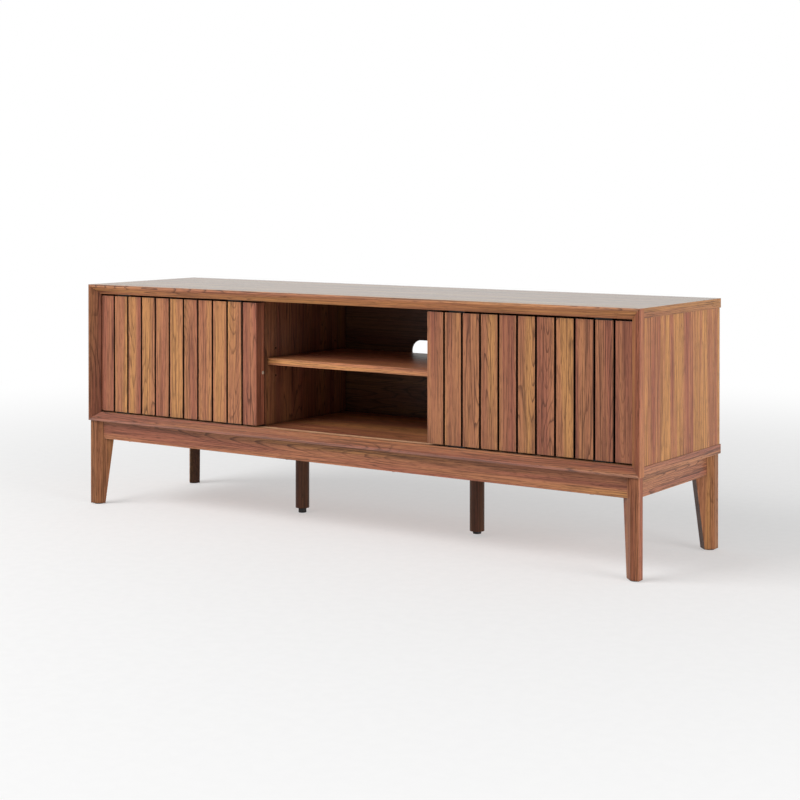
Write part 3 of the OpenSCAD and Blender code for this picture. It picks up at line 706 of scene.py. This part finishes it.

# each board's gain is partly its own tone and partly painted light and shade
WOODS = {
    "frame_top_rail": dict(along="X", seed=1, tone=0.35, tone_and_shade_gain=0.98, coat=0.5,
                           coat_way=(0, -0.7, 0.7)),
    "frame_bottom_rail": dict(along="X", seed=2, tone=0.75, tone_and_shade_gain=0.85, coat=0.9,
                              coat_way=(0, -0.7, 0.7)),
    # the side gains paint light on the faces that look left or right
    "frame_left_stile": dict(along="Z", seed=3, tone=0.7, tone_and_shade_gain=0.58, gloss=0.15, side_light_gain=1.5),
    "frame_right_stile": dict(along="Z", seed=4, tone=0.55, tone_and_shade_gain=0.73, gloss=0.12, side_light_gain=1.5),
    "top_panel": dict(along="X", seed=5, tone=0.45, end_along="Y", tone_and_shade_gain=0.72, coat=0.75,
                      rough=0.3, gloss=0.15, side_light_gain=1.1),
    "bottom_panel": dict(along="X", seed=6, tone=0.55, end_along="Y", tone_and_shade_gain=0.96),
    "left_side_panel": dict(along="Z", seed=7, tone=0.35, figure=0.35, contrast=4.6,
                             gloss=0.12),
    "right_side_panel": dict(along="Z", seed=8, tone=0.2, tone_and_shade_gain=0.98, figure=0.35, contrast=4.6,
                             gloss=0.12),
    # painted shade: the dividers are darkened as the inside of the bays is shaded
    "left_divider": dict(along="Z", seed=9, tone=0.6, tone_and_shade_gain=0.54),
    "right_divider": dict(along="Z", seed=10, tone=0.6, tone_and_shade_gain=0.54),
    "centre_shelf": dict(along="X", seed=11, tone=0.6, tone_and_shade_gain=1.1),
    "left_shelf": dict(along="X", seed=12, tone=0.6),
    "right_shelf": dict(along="X", seed=13, tone=0.6),
    # the aprons' long reach paints the shadow under the frame's bottom rail
    "front_apron": dict(along="X", seed=14, tone=0.65, tone_and_shade_gain=0.92, shade_reach=0.04),
    "rear_apron": dict(along="X", seed=15, tone=0.6, tone_and_shade_gain=0.95, shade_reach=0.04),
    "left_apron": dict(along="Y", seed=16, tone=0.6, tone_and_shade_gain=0.95, shade_reach=0.04),
    "right_apron": dict(along="Y", seed=17, tone=0.55, figure=1.6, shade_reach=0.04),
    "front_left_leg": dict(along="Z", seed=18, tone=0.5, shaded=leg_inside(-1, -1), dark_share=0.72,
                           tone_and_shade_gain=0.68, gloss=0.15, side_light_gain=1.3),
    "front_right_leg": dict(along="Z", seed=19, tone=0.6, shaded=leg_inside(1, -1), dark_share=0.72,
                            tone_and_shade_gain=0.69, gloss=0.12, side_light_gain=1.6),
    "rear_left_leg": dict(along="Z", seed=20, tone=0.5, shaded=leg_inside(-1, 1), dark_share=0.82,
                          tone_and_shade_gain=0.7, gloss=0.15),
    "rear_right_leg": dict(along="Z", seed=21, tone=0.4, shaded=leg_inside(1, 1), dark_share=0.76,
                           tone_and_shade_gain=0.78, gloss=0.15),
    # painted shade: the back panel is darkened where the bays are shaded
    "back_panel": dict(along="X", seed=22, tone=0.6, dark=0.8),
    "left_door_slats": dict(along="Z", seed=23, slats=(-DOOR_OUTER, LEFT_TONES),
                            shaded=slat_groove_shade, tone_and_shade_gain=0.93),
    # painted shade: the right door's slats are darker than the left door's
    "right_door_slats": dict(along="Z", seed=24, slats=(DOOR_INNER, RIGHT_TONES),
                             shaded=slat_groove_shade, tone_and_shade_gain=0.82),
    "left_door_board": dict(along="Z", seed=25, tone=0.6, shaded=board_shade, side_light_gain=1.3),
    "right_door_board": dict(along="Z", seed=26, tone=0.6, shaded=board_shade, side_light_gain=1.3),
    "left_mid_leg": dict(along="Z", seed=27, tone=0.6, dark=0.8, gloss=0.18),
    "right_mid_leg": dict(along="Z", seed=28, tone=0.6, dark=0.8, gloss=0.18),
    "top_dowels": dict(along="Z", seed=29, tone=0.0),
    "frame_dowels": dict(along="Y", seed=30, tone=0.0),
}
# radius of the soft edges in mm, where it isn't the usual one
WOOD_EDGE = 0.6
WOOD_EDGES = {"frame_bottom_rail": 2.2, "frame_top_rail": 1.4, "frame_left_stile": 0.8,
              "frame_right_stile": 0.8, "top_dowels": 0.8}
METALS = ["shelf_pins", "front_left_bracket", "front_right_bracket", "rear_left_bracket",
          "rear_right_bracket", "leg_bolts", "leg_nuts", "bracket_screws", "apron_screws",
          "plate_screws", "leveller_inserts", "bottom_screws", "cam_bolts", "cam_locks"]

for name, look in WOODS.items():
    dress(name, wood("walnut_" + name, **look), WOOD_EDGES.get(name, WOOD_EDGE) * MM)

steel = metal("zinc_steel", srgb=(176, 176, 180), rough=0.42)
black_steel = plastic("black_coat", srgb=(26, 25, 25), rough=0.5)
brown = plastic("brown_plastic", srgb=(122, 82, 58), rough=0.5)
tan = plastic("tan_plastic", srgb=(206, 156, 120), rough=0.4)
black = plastic("black_plastic", srgb=(18, 18, 19), rough=0.45)
pad = plastic("bumper_pad", srgb=(176, 158, 138), rough=0.4)

# material, radius of the soft edges in mm, nodes
FITTINGS = [
    (steel, 0.25, METALS),
    (black_steel, 0.3, ["left_mid_plate", "right_mid_plate"]),
    (brown, 0.3, ["top_track", "apron_caps"]),
    (tan, 0.3, ["bottom_track"]),
    (black, 0.5, ["left_door_glides", "left_door_guides", "right_door_glides",
                  "right_door_guides", "foot_glides"]),
]
for material, edge, names in FITTINGS:
    for name in names:
        dress(name, material, edge * MM)

for side, way in (("left", 1), ("right", -1)):
    make_leveller(side, black)
    make_bumper(side, way, pad)

# ---------- the studio ----------
make_floor()
make_camera()
make_world()
for name, lamp in LIGHTS.items():
    area_light(name, **lamp)
bpy.context.scene.view_settings.view_transform = "Standard"
